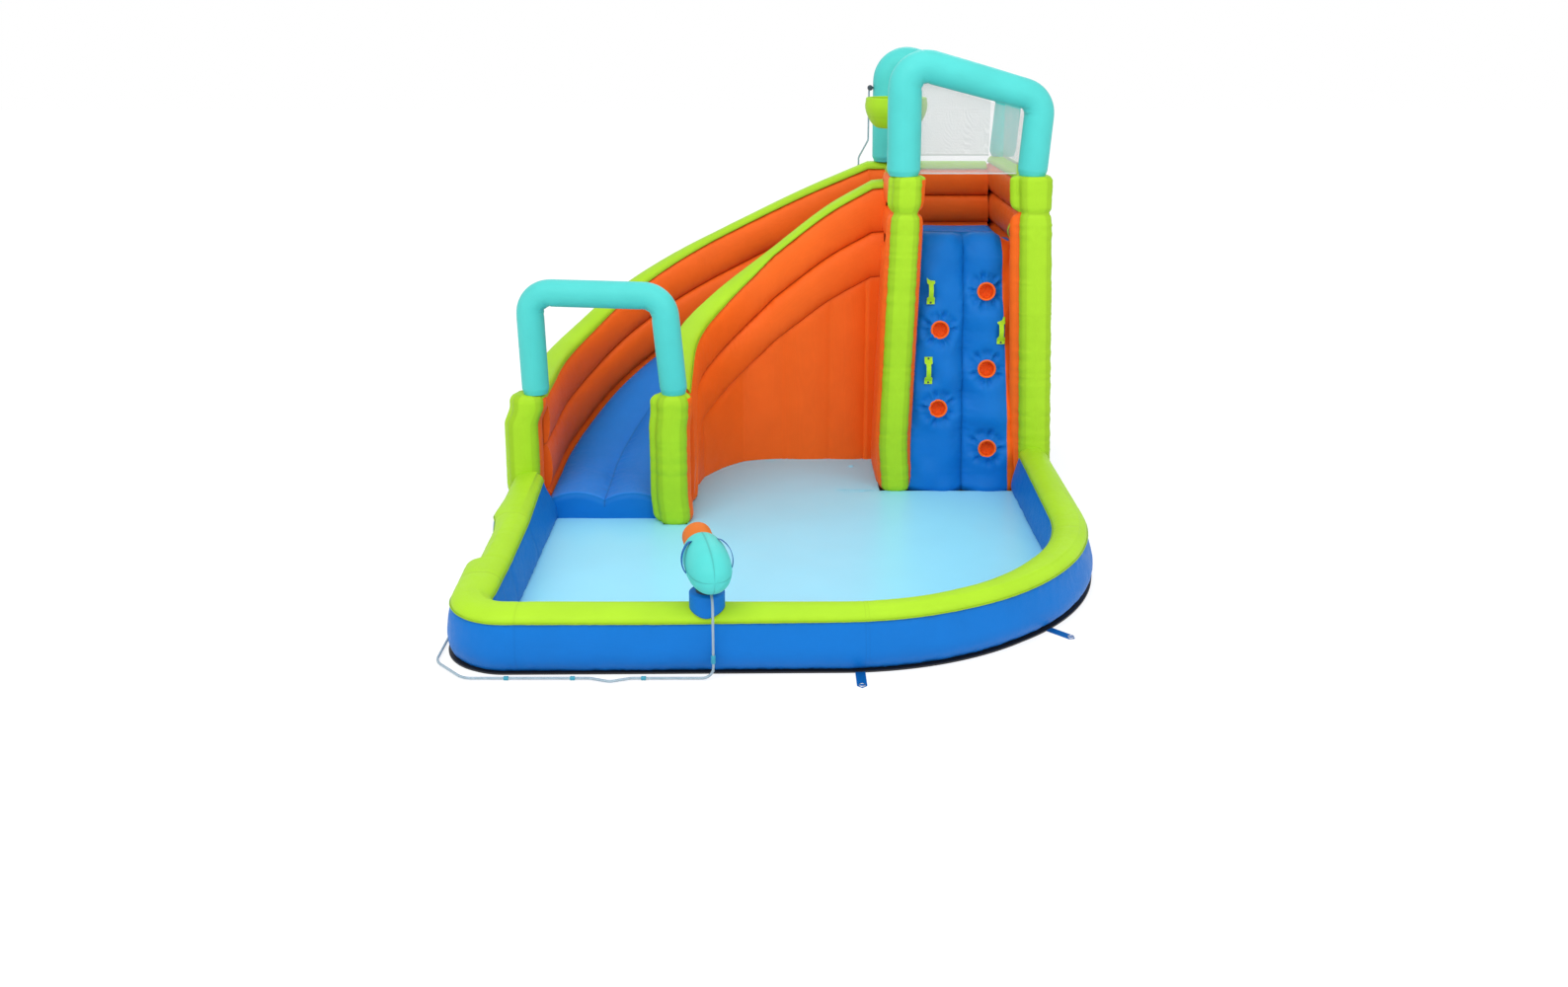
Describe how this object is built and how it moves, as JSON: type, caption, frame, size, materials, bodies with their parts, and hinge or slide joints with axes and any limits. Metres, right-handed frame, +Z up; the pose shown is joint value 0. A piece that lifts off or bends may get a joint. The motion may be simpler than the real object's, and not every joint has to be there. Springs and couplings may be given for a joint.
{
  "type": "inflatable water park",
  "caption": "Inflatable garden water park: walled pool, curved slide, climbing tower with netted arches, tipping bucket, water cannon and a fan blower on a sleeve.",
  "frame": {"origin": "on the ground under the middle of the park's base mat; the blower stands behind it", "axes": "+X to the climbing tower's side, +Y from the pool's front to the tower's back, +Z up"},
  "size_m": [3.34, 4.5874, 2.6523],
  "materials": {
    "lime_fabric": "lime coated fabric, satin",
    "orange_fabric": "orange coated fabric, satin",
    "teal_fabric": "turquoise coated fabric, satin",
    "blue_fabric": "blue coated fabric, satin",
    "floor_vinyl": "pale blue vinyl sheet",
    "mat_vinyl": "black vinyl sheet",
    "net_mesh": "fine translucent mesh",
    "clear_hose": "clear hose",
    "teal_plastic": "dark turquoise moulding",
    "dark_plastic": "dark moulding",
    "orange_plastic": "orange moulding",
    "nozzle_fabric": "bright orange coated fabric",
    "metal": "plain steel"
  },
  "bodies": {
    "root": {"arch_back": "teal_fabric", "arch_front": "teal_fabric", "base_mat": "mat_vinyl", "blower_base": "orange_plastic", "blower_handle": "orange_plastic", "blower_housing_front": "orange_plastic", "blower_housing_rear": "orange_plastic", "blower_outlet": "orange_plastic", "bucket_axle": "metal", "cannon_hose": "clear_hose", "cannon_pedestal": "blue_fabric", "climb_handle_1": "lime_fabric", "climb_handle_2": "lime_fabric", "climb_handle_3": "lime_fabric", "climbing_wall": "blue_fabric", "drain_plug": "floor_vinyl", "foothold_1": "orange_fabric", "foothold_2": "orange_fabric", "foothold_3": "orange_fabric", "foothold_4": "orange_fabric", "foothold_5": "orange_fabric", "gate_handle_left": "lime_fabric", "gate_handle_right": "lime_fabric", "hose_coupling": "teal_plastic", "inflation_sleeve": "blue_fabric", "inner_wall": "orange_fabric", "inner_wall_band": "lime_fabric", "motor": "dark_plastic", "net_back": "net_mesh", "net_front": "net_mesh", "net_right": "net_mesh", "outer_skin": "blue_fabric", "outer_wall": "orange_fabric", "outer_wall_band": "lime_fabric", "platform": "blue_fabric", "pool_band": "lime_fabric", "pool_floor": "floor_vinyl", "pool_wall": "blue_fabric", "slide_arch": "teal_fabric", "slide_bed": "blue_fabric", "slide_post_left": "lime_fabric", "slide_post_right": "lime_fabric", "spray_hose": "clear_hose", "spray_nozzle": "dark_plastic", "tower_band_left": "lime_fabric", "tower_band_right": "lime_fabric", "tower_post_left": "lime_fabric", "tower_post_right": "lime_fabric", "tower_wall_back": "orange_fabric", "tower_wall_left": "orange_fabric", "tower_wall_right": "orange_fabric"},
    "cannon_turret": {"cannon_turntable": "dark_plastic", "cannon_pin": "metal"},
    "cannon_pod": {"cannon_body": "teal_fabric", "cannon_nozzle": "nozzle_fabric", "cannon_grip_left": "blue_fabric", "cannon_grip_right": "blue_fabric"},
    "tipping_bucket": {"bucket": "lime_fabric", "bucket_strap": "lime_fabric"},
    "fan": {"impeller": "teal_plastic"}
  },
  "joints": [
    {"name": "cannon_swivel", "type": "hinge", "parent": "root", "child": "cannon_turret", "pos_m": [-0.395, -1.725, 0.372], "axis": [0, 0, 1], "range_deg": [-45, 45]},
    {"name": "cannon_tilt", "type": "hinge", "parent": "cannon_turret", "child": "cannon_pod", "pos_m": [-0.395, -1.725, 0.406], "axis": [0.9744, 0.225, 0], "range_deg": [-12, 12]},
    {"name": "bucket_tip", "type": "hinge", "parent": "root", "child": "tipping_bucket", "pos_m": [0.655, 1.12, 2.31], "axis": [0, -1, 0], "range_deg": [0, 100]},
    {"name": "fan_spin", "type": "hinge", "parent": "root", "child": "fan", "pos_m": [1, 2.5, 0.2], "axis": [1, 0, 0], "continuous": true}
  ]
}
